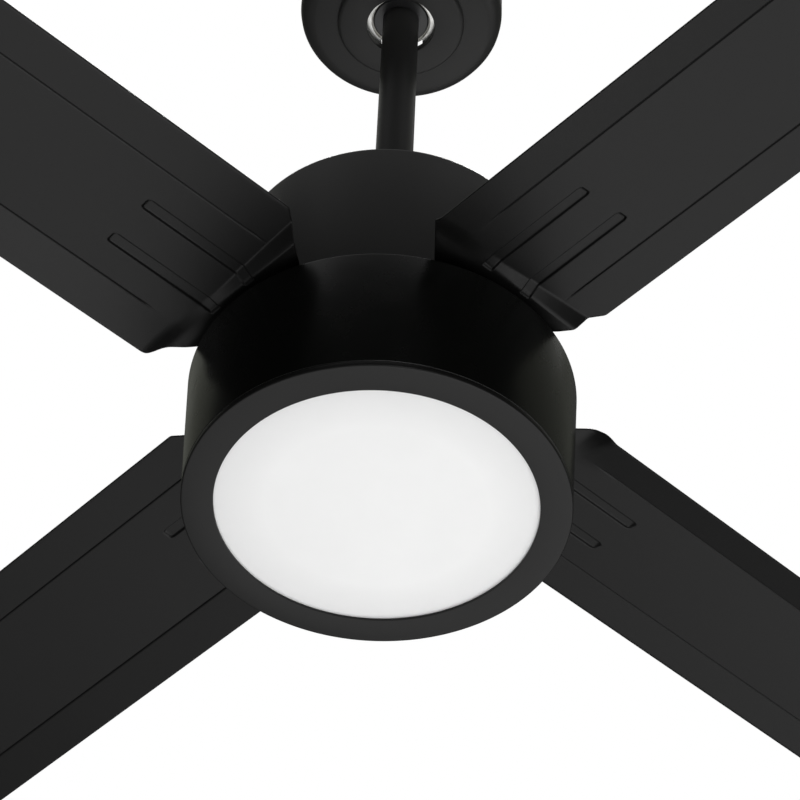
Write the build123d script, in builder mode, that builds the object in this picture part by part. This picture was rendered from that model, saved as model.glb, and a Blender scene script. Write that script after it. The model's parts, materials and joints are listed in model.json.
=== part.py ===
from build123d import *
import os
from math import sqrt

# Ceiling fan with light: a hanger bracket and canopy, a ball joint, a downrod, a drum-shaped motor
# housing, four folded sheet-metal blades on the motor's rotor, and a drum-shaped light below them
# with a twist-off trim ring and opal diffuser.
# Millimetres, +Z up. The origin is the middle of the hanger bracket's top face, on the ceiling.

# ---------------------------------------------------------------- driving dimensions
drop = 570.0                    # ceiling to the lowest face of the trim ring
blade_sweep = 1220.0            # across the blade tips, a 48 inch fan
blade_count = 4
first_blade_angle = 45.0        # degrees from +X
rod_diameter = 26.7             # 3/4 inch pipe
rod_length = 305.0              # a 12 inch downrod
light_radius_bottom = 122.0
light_radius_top = 125.4
motor_drum_radius = 102.6
canopy_radius = 75.0
canopy_depth = 62.0
box_slot_spacing = 88.9         # outlet-box screw spacing, 3 1/2 inch

# ---------------------------------------------------------------- levels, measured from the ceiling
ring_face = -drop                            # underside of the trim ring
light_bottom = ring_face + 4.4               # lower edge of the light drum
light_top = ring_face + 98.3                 # top face of the light drum
blade_root_mid = ring_face + 112.0           # middle of the flat blade roots
motor_drum_bottom = ring_face + 119.0
motor_drum_top = ring_face + 231.2
ball_centre = -40.0

sheet = 1.5                     # drum and canopy steel
running_gap = 0.3               # between faces of different moving bodies

os.makedirs("parts", exist_ok=True)
finished = []


def finish(part, name):
    """Labels a finished piece and writes its STEP."""
    part.label = name
    export_step(part, f"parts/{name}.step")
    finished.append(name)


def screw_blank(head_radius, head_height, shank_radius, shank_length):
    """A cross-recess screw on local Z: its head below z = 0 and its shank above it."""
    recess_depth = head_height * 0.6
    with BuildPart() as screw:
        with BuildSketch(Plane.XY):
            Circle(shank_radius)
        extrude(amount=shank_length)
        with BuildSketch(Plane.XY):
            Circle(head_radius)
        extrude(amount=-head_height)
        fillet(screw.edges().group_by(Axis.Z)[0], head_height * 0.35)
        with BuildSketch(Plane.XY.offset(-head_height)):
            Rectangle(head_radius, head_radius * 0.25)
            Rectangle(head_radius * 0.25, head_radius)
        extrude(amount=recess_depth, mode=Mode.SUBTRACT)
    return screw.part


# ================================================================ ceiling mount

# Hanger bracket: slotted top plate, two side walls and a floor with the spherical seat.
bracket_sheet = 2.5
bracket_length = 118.0
bracket_width = 69.0
bracket_wall_length = 80.0
bracket_corner = 8.0
bracket_floor = -canopy_depth + 1.2
box_slot_length = 14.0
box_slot_radius = 2.6
wire_slot_length, wire_slot_width = 40.0, 8.0
wire_slot_y = 27.0              # between the receiver and the side walls
ball_radius = 28.0
liner_radius = 29.9
seat_radius = liner_radius + running_gap
seat_lip_radius = 30.4
seat_lip_top = ball_centre - 14.0
loading_slot_width = 31.0       # lets the rod in from the side
window_width = 64.0             # lets the ball in from the side
window_top = ball_centre + 18.0
canopy_screw_x = 35.5
canopy_screw_hole = 2.1
wall_y = bracket_width / 2 - bracket_sheet / 2
ground_screw_x, ground_screw_z = 28.0, -30.0
ground_screw_radius = 2.0
ground_screw_length = 7.0

with BuildPart() as hanger_bracket:
    with BuildSketch(Plane.XY):
        RectangleRounded(bracket_length, bracket_width, bracket_corner)
        with GridLocations(1, 2 * wire_slot_y, 1, 2):
            SlotOverall(wire_slot_length, wire_slot_width, mode=Mode.SUBTRACT)
        with GridLocations(box_slot_spacing, 1, 2, 1):
            SlotOverall(box_slot_length, 2 * box_slot_radius, mode=Mode.SUBTRACT)
    extrude(amount=-bracket_sheet)
    with BuildSketch(Plane.XY):
        with GridLocations(1, 2 * wall_y, 1, 2):
            Rectangle(bracket_wall_length, bracket_sheet)
    extrude(amount=bracket_floor)
    with BuildSketch(Plane.XY.offset(bracket_floor)):
        Rectangle(bracket_wall_length, bracket_width)
    extrude(amount=bracket_sheet)
    with BuildSketch(Plane.XY.offset(bracket_floor)):
        Circle(seat_lip_radius)
    extrude(amount=seat_lip_top - bracket_floor)
    with Locations((0, 0, ball_centre)):
        Sphere(seat_radius, mode=Mode.SUBTRACT)
    with BuildSketch(Plane.XY.offset(bracket_floor - 1)):
        with Locations((0, bracket_width / 2)):
            Rectangle(loading_slot_width, bracket_width)
    extrude(amount=seat_lip_top - bracket_floor + 2, mode=Mode.SUBTRACT)
    with BuildSketch(Plane.XZ.offset(-wall_y)):
        with Locations((0, (bracket_floor + bracket_sheet + window_top) / 2)):
            Rectangle(window_width, window_top - bracket_floor - bracket_sheet)
    extrude(amount=bracket_sheet, both=True, mode=Mode.SUBTRACT)
    with BuildSketch(Plane.XY.offset(bracket_floor)):
        with GridLocations(2 * canopy_screw_x, 1, 2, 1):
            Circle(canopy_screw_hole)
    extrude(amount=bracket_sheet, mode=Mode.SUBTRACT)
    with BuildSketch(Plane.XZ.offset(wall_y)):
        with Locations((ground_screw_x, ground_screw_z)):
            Circle(ground_screw_radius)
    extrude(amount=bracket_sheet, both=True, mode=Mode.SUBTRACT)
finish(hanger_bracket.part, "hanger_bracket")

# Green earth screw in the back wall.
ground_screw_place = Plane(
    origin=(ground_screw_x, -bracket_width / 2, ground_screw_z), z_dir=(0, 1, 0)
)
with BuildPart() as ground_screw:
    with Locations(ground_screw_place):
        add(screw_blank(4.2, 2.4, ground_screw_radius, ground_screw_length))
finish(ground_screw.part, "ground_screw")

# Remote-control receiver under the top plate, beside the ceiling wires.
receiver_length, receiver_width, receiver_height = 68.0, 44.0, 16.0
receiver_top = -bracket_sheet - 0.8
receiver_corner = 4.0
seam_level = receiver_top - 5.0
seam_width, seam_depth = 0.8, 0.6
with BuildPart() as receiver:
    with BuildSketch(Plane.XY.offset(receiver_top)):
        RectangleRounded(receiver_length, receiver_width, receiver_corner)
    extrude(amount=-receiver_height)
    fillet(receiver.edges().group_by(Axis.Z)[0], 1.5)
    with BuildSketch(Plane.XY.offset(seam_level)):
        Rectangle(receiver_length, receiver_width)
        RectangleRounded(
            receiver_length - 2 * seam_depth,
            receiver_width - 2 * seam_depth,
            receiver_corner - seam_depth,
            mode=Mode.SUBTRACT,
        )
    extrude(amount=-seam_width, mode=Mode.SUBTRACT)
finish(receiver.part, "receiver")

# Canopy: a flat-bottomed cup over the bracket.
canopy_sheet = 1.2
canopy_corner = 12.0
canopy_hole_radius = 25.0
canopy_top = -1.0
with BuildPart() as canopy:
    with BuildSketch(Plane.XZ):
        with BuildLine():
            outer = FilletPolyline(
                (canopy_hole_radius, -canopy_depth),
                (canopy_radius, -canopy_depth),
                (canopy_radius, canopy_top),
                radius=canopy_corner,
            )
            inner = FilletPolyline(
                (canopy_hole_radius, -canopy_depth + canopy_sheet),
                (canopy_radius - canopy_sheet, -canopy_depth + canopy_sheet),
                (canopy_radius - canopy_sheet, canopy_top),
                radius=canopy_corner - canopy_sheet,
            )
            Line(outer @ 0, inner @ 0)
            Line(outer @ 1, inner @ 1)
        make_face()
    revolve(axis=Axis.Z)
    with BuildSketch(Plane.XY.offset(-canopy_depth)):
        with GridLocations(2 * canopy_screw_x, 1, 2, 1):
            Circle(canopy_screw_hole)
    extrude(amount=canopy_sheet, mode=Mode.SUBTRACT)
finish(canopy.part, "canopy")

with BuildPart() as canopy_screws:
    with Locations((-canopy_screw_x, 0, -canopy_depth), (canopy_screw_x, 0, -canopy_depth)):
        add(screw_blank(3.6, 2.2, 2.0, 8.0))
finish(canopy_screws.part, "canopy_screws")

# Cover ring that hides the canopy screws.
cover_ring_radius = 47.0
cover_ring_depth = 4.6
cover_ring_edge = 3.0
with BuildPart() as canopy_cover_ring:
    with BuildSketch(Plane.XY.offset(-canopy_depth)):
        Circle(cover_ring_radius)
        Circle(canopy_hole_radius, mode=Mode.SUBTRACT)
    extrude(amount=-cover_ring_depth)
    fillet(canopy_cover_ring.edges().group_by(Axis.Z)[0].sort_by(SortBy.RADIUS)[-1], cover_ring_edge)
    with BuildSketch(Plane.XY.offset(-canopy_depth)):
        Circle(cover_ring_radius - canopy_sheet)
        Circle(canopy_hole_radius + canopy_sheet, mode=Mode.SUBTRACT)
    extrude(amount=-cover_ring_depth + canopy_sheet, mode=Mode.SUBTRACT)
finish(canopy_cover_ring.part, "canopy_cover_ring")

# ================================================================ ball joint and downrod

# Nylon liner between ball and seat: a zone of a spherical shell.
liner_inner_radius = ball_radius + 0.1
liner_top = ball_centre - 1.0
liner_bottom = ball_centre - 19.0
with BuildPart() as ball_liner:
    with Locations((0, 0, ball_centre)):
        Sphere(liner_radius)
        Sphere(liner_inner_radius, mode=Mode.SUBTRACT)
    split(bisect_by=Plane.XY.offset(liner_top), keep=Keep.BOTTOM)
    split(bisect_by=Plane.XY.offset(liner_bottom), keep=Keep.TOP)
finish(ball_liner.part, "ball_liner")

rod_radius = rod_diameter / 2
rod_wall = 2.87
rod_top = ball_centre + 15.0
rod_bottom = rod_top - rod_length
pin_radius = 3.0
clevis_level = rod_bottom + 22.0
with BuildPart() as downrod:
    with BuildSketch(Plane.XY.offset(rod_top)):
        Circle(rod_radius)
        Circle(rod_radius - rod_wall, mode=Mode.SUBTRACT)
    extrude(amount=-rod_length)
    with BuildSketch(Plane.YZ):
        with Locations((0, ball_centre), (0, clevis_level)):
            Circle(pin_radius)
    extrude(amount=rod_radius + 1, both=True, mode=Mode.SUBTRACT)
finish(downrod.part, "downrod")

# Hanger ball, flat at top and bottom, bored for the rod, its cross pin and its set screw.
ball_top = ball_centre + 12.0
ball_bottom = ball_centre - 20.0
set_screw_level = ball_centre + 6.5
set_screw_radius = 2.5
with BuildPart() as hanger_ball:
    with Locations((0, 0, ball_centre)):
        Sphere(ball_radius)
    split(bisect_by=Plane.XY.offset(ball_top), keep=Keep.BOTTOM)
    split(bisect_by=Plane.XY.offset(ball_bottom), keep=Keep.TOP)
    with BuildSketch(Plane.XY.offset(ball_bottom)):
        Circle(rod_radius)
    extrude(amount=ball_top - ball_bottom, mode=Mode.SUBTRACT)
    with BuildSketch(Plane.YZ):
        with Locations((0, ball_centre)):
            Circle(pin_radius)
    extrude(amount=ball_radius + 1, both=True, mode=Mode.SUBTRACT)
    with BuildSketch(Plane.XZ):
        with Locations((0, set_screw_level)):
            Circle(set_screw_radius)
    extrude(amount=ball_radius + 1, mode=Mode.SUBTRACT)
finish(hanger_ball.part, "hanger_ball")

ball_pin_length = 52.0
with BuildPart() as ball_pin:
    with BuildSketch(Plane.YZ):
        with Locations((0, ball_centre)):
            Circle(pin_radius)
    extrude(amount=ball_pin_length / 2, both=True)
    chamfer(ball_pin.edges().filter_by(GeomType.CIRCLE), 0.6)
finish(ball_pin.part, "ball_pin")

ball_set_screw_length = 9.0
hex_socket_radius, hex_socket_depth = 1.4, 3.0
with BuildPart() as ball_set_screw:
    with BuildSketch(Plane.XZ.offset(rod_radius)):
        with Locations((0, set_screw_level)):
            Circle(set_screw_radius)
    extrude(amount=ball_set_screw_length)
    with BuildSketch(Plane.XZ.offset(rod_radius + ball_set_screw_length)):
        with Locations((0, set_screw_level)):
            RegularPolygon(hex_socket_radius, 6)
    extrude(amount=-hex_socket_depth, mode=Mode.SUBTRACT)
finish(ball_set_screw.part, "ball_set_screw")

# ================================================================ coupling at the motor's top

shaft_radius = 11.0
shaft_bore_radius = 6.5
yoke_radius = 20.5
yoke_top = rod_bottom + 45.0
yoke_flange_radius = 37.0
yoke_flange_top = motor_drum_top - sheet
yoke_flange_bottom = yoke_flange_top - 5.5
yoke_screw_level = rod_bottom + 35.0
yoke_screw_radius = 3.0
housing_screw_circle = 29.5
housing_screw_radius = 2.0
with BuildPart() as yoke:
    with BuildSketch(Plane.XY.offset(yoke_flange_bottom)):
        Circle(yoke_flange_radius)
    extrude(amount=yoke_flange_top - yoke_flange_bottom)
    with BuildSketch(Plane.XY.offset(yoke_flange_bottom)):
        Circle(yoke_radius)
    extrude(amount=yoke_top - yoke_flange_bottom)
    chamfer(yoke.edges().group_by(Axis.Z)[-1], 1)
    with BuildSketch(Plane.XY.offset(rod_bottom)):
        Circle(rod_radius)
    extrude(amount=yoke_top - rod_bottom, mode=Mode.SUBTRACT)
    with BuildSketch(Plane.XY.offset(yoke_flange_bottom)):
        Circle(shaft_radius)
        with PolarLocations(housing_screw_circle, 4):
            Circle(housing_screw_radius)
    extrude(amount=rod_bottom - yoke_flange_bottom, mode=Mode.SUBTRACT)
    with BuildSketch(Plane.YZ):
        with Locations((0, clevis_level)):
            Circle(pin_radius)
    extrude(amount=yoke_radius + 1, both=True, mode=Mode.SUBTRACT)
    with BuildSketch(Plane.XZ):
        with Locations((0, yoke_screw_level)):
            Circle(yoke_screw_radius)
    extrude(amount=yoke_radius + 1, both=True, mode=Mode.SUBTRACT)
finish(yoke.part, "yoke")

# Clevis pin with a head at one end and a hole for its clip at the other.
clip_wire_radius = 0.8
clip_x = yoke_radius + 3.0
pin_tail = 6.0                  # beyond the yoke, for the clip
pin_head_height = 2.5
with BuildPart() as clevis_pin:
    with BuildSketch(Plane.YZ.offset(-yoke_radius)):
        with Locations((0, clevis_level)):
            Circle(pin_radius)
    extrude(amount=2 * yoke_radius + pin_tail)
    with BuildSketch(Plane.YZ.offset(-yoke_radius)):
        with Locations((0, clevis_level)):
            Circle(pin_radius + 2)
    extrude(amount=-pin_head_height)
    with BuildSketch(Plane.XY.offset(clevis_level)):
        with Locations((clip_x, 0)):
            Circle(clip_wire_radius)
    extrude(amount=pin_radius + 1, both=True, mode=Mode.SUBTRACT)
finish(clevis_pin.part, "clevis_pin")

# Hairpin clip: one straight leg through the pin, a bend, and a leg that lies against it.
clip_top = clevis_level + 9.0
clip_bottom = clevis_level - 7.0
clip_bend = 1.9
clip_outer_x = clip_x + pin_radius + clip_wire_radius + 1.6
clip_tip_x = clip_x + pin_radius + clip_wire_radius + 0.6
with BuildPart() as hairpin_clip:
    with BuildLine(Plane.XZ):
        FilletPolyline(
            (clip_x, clip_bottom),
            (clip_x, clip_top),
            (clip_outer_x, clip_top),
            (clip_tip_x, clip_bottom + 2),
            radius=clip_bend,
        )
    with BuildSketch(Plane.XY.offset(clip_bottom)):
        with Locations((clip_x, 0)):
            Circle(clip_wire_radius)
    sweep()
finish(hairpin_clip.part, "hairpin_clip")

# Two hexagon-headed screws that clamp the rod in the yoke.
yoke_screw_length = 11.0
yoke_screw_head_radius, yoke_screw_head_height = 4.6, 4.0
with BuildPart() as yoke_set_screws:
    for side in (-1, 1):
        with BuildSketch(Plane.XZ.offset(side * rod_radius)):
            with Locations((0, yoke_screw_level)):
                Circle(yoke_screw_radius)
        extrude(amount=side * yoke_screw_length)
        with BuildSketch(Plane.XZ.offset(side * (rod_radius + yoke_screw_length - 2))):
            with Locations((0, yoke_screw_level)):
                RegularPolygon(yoke_screw_head_radius, 6)
        extrude(amount=side * yoke_screw_head_height)
finish(yoke_set_screws.part, "yoke_set_screws")

# Coupling cover: a bell over the yoke, resting on the motor drum and round the rod.
cover_base_radius = 44.0
cover_skirt_radius = 42.0
cover_shoulder_radius = 32.0
cover_hole_radius = rod_radius + 0.9
cover_skirt_top = motor_drum_top + 10.0
cover_top = motor_drum_top + 62.0
cover_sheet = 1.2
cover_corner = 6.0
with BuildPart() as coupling_cover:
    with BuildSketch(Plane.XZ):
        with BuildLine():
            outside = FilletPolyline(
                (cover_base_radius, motor_drum_top),
                (cover_skirt_radius, cover_skirt_top),
                (cover_shoulder_radius, cover_top),
                (cover_hole_radius, cover_top),
                radius=cover_corner,
            )
            inside = FilletPolyline(
                (cover_base_radius - cover_sheet, motor_drum_top),
                (cover_skirt_radius - cover_sheet, cover_skirt_top),
                (cover_shoulder_radius - cover_sheet, cover_top - cover_sheet),
                (cover_hole_radius, cover_top - cover_sheet),
                radius=cover_corner - cover_sheet,
            )
            Line(outside @ 0, inside @ 0)
            Line(outside @ 1, inside @ 1)
        make_face()
    revolve(axis=Axis.Z)
finish(coupling_cover.part, "coupling_cover")

# ================================================================ motor housing and motor

motor_top_hole = yoke_radius + 1.0
drum_edge_radius = 3.0
with BuildPart() as motor_housing:
    with BuildSketch(Plane.XZ):
        with BuildLine():
            skin = FilletPolyline(
                (motor_drum_radius, motor_drum_bottom),
                (motor_drum_radius, motor_drum_top),
                (motor_top_hole, motor_drum_top),
                radius=drum_edge_radius,
            )
            lining = FilletPolyline(
                (motor_drum_radius - sheet, motor_drum_bottom),
                (motor_drum_radius - sheet, motor_drum_top - sheet),
                (motor_top_hole, motor_drum_top - sheet),
                radius=drum_edge_radius - sheet,
            )
            Line(skin @ 0, lining @ 0)
            Line(skin @ 1, lining @ 1)
        make_face()
    revolve(axis=Axis.Z)
    with BuildSketch(Plane.XY.offset(motor_drum_top)):
        with PolarLocations(housing_screw_circle, 4):
            Circle(housing_screw_radius)
    extrude(amount=-sheet, mode=Mode.SUBTRACT)
finish(motor_housing.part, "motor_housing")

housing_screw_place = Plane(origin=(0, 0, motor_drum_top), x_dir=(1, 0, 0), z_dir=(0, 0, -1))
with BuildPart() as housing_screws:
    with Locations(housing_screw_place):
        with PolarLocations(housing_screw_circle, 4):
            add(screw_blank(3.8, 2.4, housing_screw_radius, 7.0))
finish(housing_screws.part, "housing_screws")

# Hollow shaft that carries the whole light kit and lets its wires through.
plate_thickness = 1.6
light_plate_top = light_top - sheet
light_plate_bottom = light_plate_top - plate_thickness
shaft_top = rod_bottom - 1.0
shaft_bottom = light_plate_bottom - 11.0
with BuildPart() as motor_shaft:
    with BuildSketch(Plane.XY.offset(shaft_bottom)):
        Circle(shaft_radius)
        Circle(shaft_bore_radius, mode=Mode.SUBTRACT)
    extrude(amount=shaft_top - shaft_bottom)
    chamfer(motor_shaft.edges().group_by(Axis.Z)[0], 0.8)
finish(motor_shaft.part, "motor_shaft")

# Motor levels, from the blade hub upwards.
hub_bottom = blade_root_mid + 0.9
hub_top = hub_bottom + 5.0
cover_split = hub_top + 34.0
motor_top = hub_top + 66.0
stator_bottom = hub_top + 20.0
stator_height = 26.0
stator_radius = 72.0
air_gap = 0.6
rotor_ring_radius = 84.0
rotor_radius = 90.0
bearing_radius = 22.0
bearing_width = 11.0
inner_race_radius = 14.4
outer_race_radius = 18.6
ball_diameter = 5.2
ball_seat_radius = ball_diameter / 2 + 0.1
ball_track_radius = ball_diameter / 2 + 0.35
race_relief = 0.5
lower_bearing = hub_top + 3.0
upper_bearing = motor_top - 3.0 - bearing_width
slot_count = 16
coil_slot_length, coil_slot_width = 22.0, 9.0
slot_mouth_width = 6.0

with BuildPart() as stator_core:
    with BuildSketch(Plane.XY.offset(stator_bottom)):
        Circle(stator_radius)
        Circle(shaft_radius, mode=Mode.SUBTRACT)
        with PolarLocations(stator_radius - 15, slot_count):
            SlotOverall(coil_slot_length, coil_slot_width, mode=Mode.SUBTRACT)
        with PolarLocations(stator_radius, slot_count):
            Rectangle(coil_slot_length / 3, slot_mouth_width, mode=Mode.SUBTRACT)
    extrude(amount=stator_height)
finish(stator_core.part, "stator_core")

# Windings: the end turns above and below the core.
winding_inner, winding_outer, winding_height = 47.0, 67.0, 8.0
with BuildPart() as stator_windings:
    for level in (stator_bottom - winding_height, stator_bottom + stator_height):
        with BuildSketch(Plane.XY.offset(level)):
            Circle(winding_outer)
            Circle(winding_inner, mode=Mode.SUBTRACT)
        extrude(amount=winding_height)
    fillet(stator_windings.edges().filter_by(GeomType.CIRCLE), 3)
finish(stator_windings.part, "stator_windings")

with BuildPart() as rotor_ring:
    with BuildSketch(Plane.XY.offset(stator_bottom)):
        Circle(rotor_ring_radius)
        Circle(stator_radius + air_gap, mode=Mode.SUBTRACT)
    extrude(amount=stator_height)
finish(rotor_ring.part, "rotor_ring")

boss_radius = 28.0
web = 5.0
boss_height = bearing_width + 4.0
shaft_clearance = shaft_radius + 1.5
vent_circle, vent_count = 62.0, 12
vent_length, vent_width = 26.0, 8.0
hub_screw_circle = 60.0
hub_screw_count = 4
hub_screw_radius = 2.5
with BuildPart() as rotor_lower_cover:
    with BuildSketch(Plane.XY.offset(hub_top)):
        Circle(rotor_radius)
        Circle(shaft_clearance, mode=Mode.SUBTRACT)
    extrude(amount=web)
    with BuildSketch(Plane.XY.offset(hub_top)):
        Circle(boss_radius)
        Circle(shaft_clearance, mode=Mode.SUBTRACT)
    extrude(amount=boss_height)
    with BuildSketch(Plane.XY.offset(hub_top)):
        Circle(rotor_radius)
        Circle(rotor_ring_radius, mode=Mode.SUBTRACT)
    extrude(amount=cover_split - hub_top)
    with BuildSketch(Plane.XY.offset(lower_bearing)):
        Circle(bearing_radius)
    extrude(amount=boss_height, mode=Mode.SUBTRACT)
    with BuildSketch(Plane.XY.offset(hub_top)):
        with PolarLocations(hub_screw_circle, hub_screw_count):
            Circle(hub_screw_radius)
    extrude(amount=web, mode=Mode.SUBTRACT)
finish(rotor_lower_cover.part, "rotor_lower_cover")

with BuildPart() as rotor_upper_cover:
    with BuildSketch(Plane.XY.offset(motor_top)):
        Circle(rotor_radius)
        Circle(shaft_clearance, mode=Mode.SUBTRACT)
    extrude(amount=-web)
    fillet(rotor_upper_cover.edges().group_by(Axis.Z)[-1].sort_by(SortBy.RADIUS)[-1], 4)
    with BuildSketch(Plane.XY.offset(motor_top)):
        Circle(boss_radius)
        Circle(shaft_clearance, mode=Mode.SUBTRACT)
    extrude(amount=-boss_height)
    with BuildSketch(Plane.XY.offset(motor_top - web)):
        Circle(rotor_radius)
        Circle(rotor_ring_radius, mode=Mode.SUBTRACT)
    extrude(amount=cover_split - motor_top + web)
    with BuildSketch(Plane.XY.offset(upper_bearing + bearing_width)):
        Circle(bearing_radius)
    extrude(amount=-boss_height, mode=Mode.SUBTRACT)
    with BuildSketch(Plane.XY.offset(motor_top)):
        with PolarLocations(vent_circle, vent_count):
            SlotOverall(vent_length, vent_width)
    extrude(amount=-web, mode=Mode.SUBTRACT)
finish(rotor_upper_cover.part, "rotor_upper_cover")

# Ball bearings: inner races on the shaft, outer races and balls in the covers.
# The inner races are narrower, so the turning covers pass clear of them.
bearing_levels = (lower_bearing, upper_bearing)
ball_circle = 0.5 * (inner_race_radius + outer_race_radius)
with BuildPart() as bearing_inner_races:
    for level in bearing_levels:
        with BuildSketch(Plane.XY.offset(level + race_relief)):
            Circle(inner_race_radius)
            Circle(shaft_radius, mode=Mode.SUBTRACT)
        extrude(amount=bearing_width - 2 * race_relief)
        with Locations((0, 0, level + bearing_width / 2)):
            Torus(ball_circle, ball_track_radius, mode=Mode.SUBTRACT)
finish(bearing_inner_races.part, "bearing_inner_races")

with BuildPart() as bearing_outer_races:
    for level in bearing_levels:
        with BuildSketch(Plane.XY.offset(level)):
            Circle(bearing_radius)
            Circle(outer_race_radius, mode=Mode.SUBTRACT)
        extrude(amount=bearing_width)
        with Locations((0, 0, level + bearing_width / 2)):
            Torus(ball_circle, ball_seat_radius, mode=Mode.SUBTRACT)
finish(bearing_outer_races.part, "bearing_outer_races")

bearing_ball_count = 10
with BuildPart() as bearing_balls:
    for level in bearing_levels:
        with Locations(Plane.XY.offset(level + bearing_width / 2)):
            with PolarLocations(ball_circle, bearing_ball_count):
                Sphere(ball_diameter / 2)
finish(bearing_balls.part, "bearing_balls")

# ================================================================ blade hub, blades and their screws

# Hub plate on the rotor's underside; the blade roots are screwed against it.
hub_radius = 97.0
hub_hole_radius = 32.0
blade_screw_places = ((66.0, 0.0), (90.0, -19.0), (90.0, 19.0))
blade_screw_radius = 2.5
blade_angles = [first_blade_angle + 360 / blade_count * index for index in range(blade_count)]
with BuildPart() as blade_hub:
    with BuildSketch(Plane.XY.offset(hub_bottom)):
        Circle(hub_radius)
        Circle(hub_hole_radius, mode=Mode.SUBTRACT)
        with PolarLocations(hub_screw_circle, hub_screw_count):
            Circle(hub_screw_radius, mode=Mode.SUBTRACT)
        with PolarLocations(0, blade_count, start_angle=first_blade_angle):
            with Locations(*blade_screw_places):
                Circle(blade_screw_radius, mode=Mode.SUBTRACT)
    extrude(amount=hub_top - hub_bottom)
    chamfer(blade_hub.edges().group_by(Axis.Z)[0].sort_by(SortBy.RADIUS)[-1], 1)
finish(blade_hub.part, "blade_hub")

with BuildPart() as hub_screws:
    with Locations(Plane.XY.offset(hub_bottom)):
        with PolarLocations(hub_screw_circle, hub_screw_count):
            add(screw_blank(4.8, 3.0, hub_screw_radius, hub_top - hub_bottom + 4.5))
finish(hub_screws.part, "hub_screws")

# One blade along +X: a flat root, a fold, and a pitched plate with a bent-down and a bent-up margin.
# Its cross-section is given by four points (y, height above the ring face) from edge to edge.
blade_sheet = 1.8
blade_tip = blade_sweep / 2
fold_inner, fold_outer = 122.5, 130.5
blade_root_inner = 52.0
pitched_line = ((-77.5, 100.3), (-50.0, 108.8), (34.7, 118.4), (64.0, 121.2))
root_line = [(y, 112.0) for y, height in pitched_line]
tip_corner = 24.0
root_corner = 7.0
rib_places = (-24.4, 8.4)       # y of the two pressed ribs
rib_width = 9.0
rib_height = 1.6
rib_start, rib_end = 134.0, 209.0


def blade_section(x, line, lift=0.0):
    """The sheet's cross-section at x, as a closed sketch on a plane across the blade."""
    lower = [(y, ring_face + height + lift - blade_sheet / 2) for y, height in line]
    upper = [(y, ring_face + height + lift + blade_sheet / 2) for y, height in reversed(line)]
    with BuildSketch(Plane.YZ.offset(x)) as section:
        with BuildLine():
            Polyline(*lower, *upper, close=True)
        make_face()
    return section.sketch


def pitched_plate(x_from, x_to, lift):
    """A length of the pitched plate, raised by lift."""
    with BuildPart() as plate:
        add(blade_section(x_from, pitched_line, lift))
        add(blade_section(x_to, pitched_line, lift))
        loft(ruled=True)
    return plate.part


def rib_prism(y, width, height_range):
    """An upright prism over one rib's round-ended outline."""
    length = rib_end - rib_start - rib_width + width
    with BuildPart() as prism:
        with BuildSketch(Plane.XY.offset(height_range[0])):
            with Locations((0.5 * (rib_start + rib_end), y)):
                SlotOverall(length, width)
        extrude(amount=height_range[1] - height_range[0])
    return prism.part


blade_low, blade_high = ring_face + 90, ring_face + 130
with BuildPart() as blade_outline:
    with BuildSketch(Plane.XY.offset(blade_low)) as outline:
        with BuildLine():
            Polyline(
                (blade_root_inner, -28),
                (79, -28),
                (100, -49),
                (131, -77.5),
                (blade_tip, -77.5),
                (blade_tip, 64),
                (139, 64),
                (109, 41),
                (96, 28),
                (blade_root_inner, 28),
                close=True,
            )
        make_face()
        fillet(outline.vertices().group_by(Axis.X)[-1], tip_corner)
        fillet(outline.vertices().group_by(Axis.X)[0], root_corner)
    extrude(amount=blade_high - blade_low)

with BuildPart() as blade_blank:
    add(blade_section(blade_root_inner - 1, root_line))
    add(blade_section(fold_inner, root_line))
    add(blade_section(fold_outer, pitched_line))
    add(blade_section(blade_tip + 1, pitched_line))
    loft(ruled=True)
    add(blade_outline.part, mode=Mode.INTERSECT)
    with BuildSketch(Plane.XY.offset(blade_low)):
        with Locations(*blade_screw_places):
            Circle(blade_screw_radius)
    extrude(amount=blade_high - blade_low, mode=Mode.SUBTRACT)
    for rib_y in rib_places:
        rib_raised = pitched_plate(rib_start - 6, rib_end + 6, rib_height)
        rib_skin = pitched_plate(rib_start - 6, rib_end + 6, rib_height - blade_sheet)
        add(rib_raised & rib_prism(rib_y, rib_width + 2 * rib_height, (blade_low, blade_high)))
        add(rib_skin & rib_prism(rib_y, rib_width, (blade_low, blade_high)), mode=Mode.SUBTRACT)

for index, angle in enumerate(blade_angles):
    finish(blade_blank.part.rotate(Axis.Z, angle), f"blade_{index + 1}")

blade_screw = screw_blank(5.2, 3.2, blade_screw_radius, blade_sheet + 4.5)
with BuildPart() as blade_screws:
    with Locations(Plane.XY.offset(blade_root_mid - blade_sheet / 2)):
        with PolarLocations(0, blade_count, start_angle=first_blade_angle):
            with Locations(*blade_screw_places):
                add(blade_screw)
finish(blade_screws.part, "blade_screws")

# ================================================================ light kit

# Mounting plate nutted to the shaft; the drum's roof rests on it and is screwed to it.
light_plate_radius = 72.0
standoff_circle = 60.0
standoff_count = 3
standoff_radius = 4.0
drum_screw_circle = 52.0
drum_screw_radius = 2.0
drum_screw_count = 3
drum_roof_hole = 38.0
plate_slot_circle, plate_slot_count = 38.0, 6
plate_slot_length, plate_slot_width = 18.0, 6.0
with BuildPart() as light_mounting_plate:
    with BuildSketch(Plane.XY.offset(light_plate_bottom)):
        Circle(light_plate_radius)
        Circle(shaft_radius, mode=Mode.SUBTRACT)
        with PolarLocations(drum_screw_circle, drum_screw_count, start_angle=30):
            Circle(drum_screw_radius, mode=Mode.SUBTRACT)
        with PolarLocations(plate_slot_circle, plate_slot_count):
            SlotOverall(plate_slot_length, plate_slot_width, mode=Mode.SUBTRACT)
    extrude(amount=plate_thickness)
finish(light_mounting_plate.part, "light_mounting_plate")

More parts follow.
